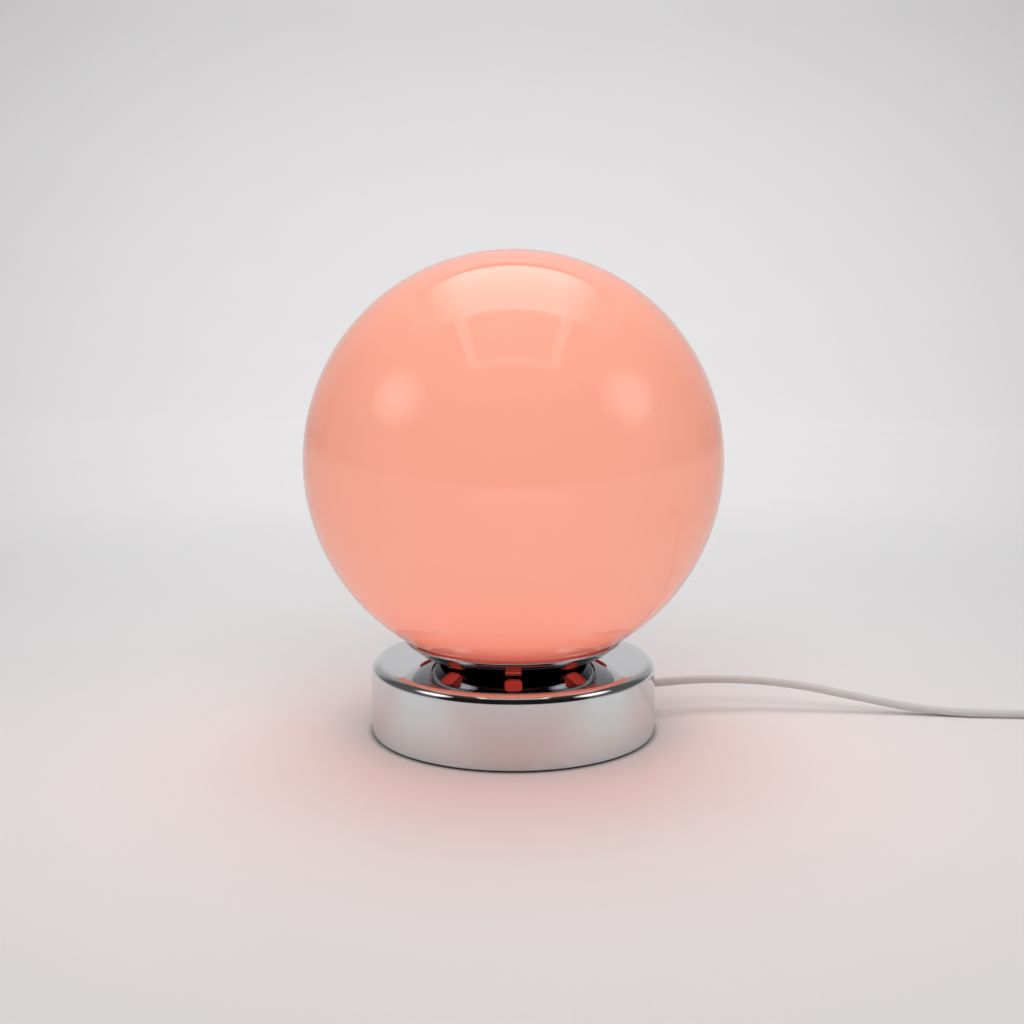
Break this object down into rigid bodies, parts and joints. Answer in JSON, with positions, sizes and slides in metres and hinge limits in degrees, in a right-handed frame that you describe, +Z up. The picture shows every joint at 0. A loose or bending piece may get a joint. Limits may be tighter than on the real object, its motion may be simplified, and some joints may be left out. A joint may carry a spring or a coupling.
{
  "type": "glass globe table lamp",
  "caption": "Table lamp: a coral glass globe in a vented chrome gallery cup on a weighted chrome drum base, with a bulb holder, flat flex, rocker switch and plug.",
  "frame": {"origin": "on the table, under the axis of the globe and the base", "axes": "+Z up along the lamp's axis, -Y towards the front, +X to the side on which the flex lies"},
  "size_m": [0.5476, 0.1998, 0.232],
  "materials": {
    "base_chrome": "mirror-polished plating",
    "coral_glass": "opal glass, coral all through, with a polished skin",
    "iron": "cast, with a thin dip coat",
    "cover_paint": "satin black",
    "pad_foam": "closed-cell foam with a matt skin",
    "silicone": "translucent milky silicone",
    "zinc_steel": "bright zinc plating",
    "spring_steel": "bright rolled strip",
    "holder_white": "moulded, satin",
    "ceramic": "unglazed white ceramic",
    "contact_brass": "bright stamped",
    "cap_nickel": "plated screw cap",
    "black_glass": "black insulating glass",
    "solder": "dull solder",
    "bulb_white": "moulded, satin",
    "bulb_opal": "frosted opal diffuser",
    "board_white": "white solder mask on an aluminium board",
    "bush_clear": "moulded, slightly translucent",
    "clamp_white": "moulded",
    "flex_pale": "soft extruded sheath, satin",
    "core_insulation": "extruded",
    "switch_white": "moulded, satin",
    "tie_white": "paper over wire",
    "plug_white": "moulded, fine grain",
    "sleeve_black": "moulded",
    "pin_metal": "nickel-plated brass"
  },
  "bodies": {
    "base": {"base_housing": "base_chrome", "ballast_disc": "iron", "cover_plate": "cover_paint", "cover_screws": "zinc_steel", "base_pad": "pad_foam", "gallery_cup": "base_chrome", "globe_seat_ring": "silicone", "threaded_tube": "zinc_steel", "lower_nut": "zinc_steel", "upper_nut": "zinc_steel", "lower_washer": "zinc_steel", "upper_washer": "zinc_steel", "clip_carrier": "zinc_steel", "globe_clips": "spring_steel", "clip_rivets": "zinc_steel", "holder_cap": "holder_white", "holder_barrel": "holder_white", "holder_insert": "ceramic", "screw_shell": "contact_brass", "centre_contact": "contact_brass", "contact_terminals": "contact_brass", "cord_bush": "bush_clear", "cord_clamp": "clamp_white", "clamp_screws": "zinc_steel", "inner_flex": "flex_pale", "inner_cores": "core_insulation", "cord_lead": "flex_pale", "switch_base": "switch_white", "switch_cover": "switch_white", "switch_screws": "zinc_steel", "rocker_pin": "zinc_steel", "cord_tail": "flex_pale", "cord_coil": "flex_pale", "coil_tie": "tie_white", "cord_plug_lead": "flex_pale", "plug_relief": "plug_white", "plug_body": "plug_white", "pin_sleeves": "sleeve_black", "plug_pins": "pin_metal"},
    "globe": {"glass_globe": "coral_glass"},
    "bulb": {"bulb_cap": "cap_nickel", "bulb_insulator": "black_glass", "bulb_tip_contact": "solder", "bulb_body": "bulb_white", "bulb_dome": "bulb_opal", "led_board": "board_white"},
    "rocker": {"switch_rocker": "switch_white"}
  },
  "joints": [
    {"name": "globe_lift", "type": "slide", "parent": "base", "child": "globe", "axis": [0, 0, 1], "range_m": [0, 0.115]},
    {"name": "bulb_lift", "type": "slide", "parent": "base", "child": "bulb", "axis": [0, 0, 1], "range_m": [0, 0.03]},
    {"name": "rocker_tilt", "type": "hinge", "parent": "base", "child": "rocker", "pos_m": [0.329, 0.0154, 0.0121], "axis": [0, 1, 0], "range_deg": [0, 16]}
  ]
}
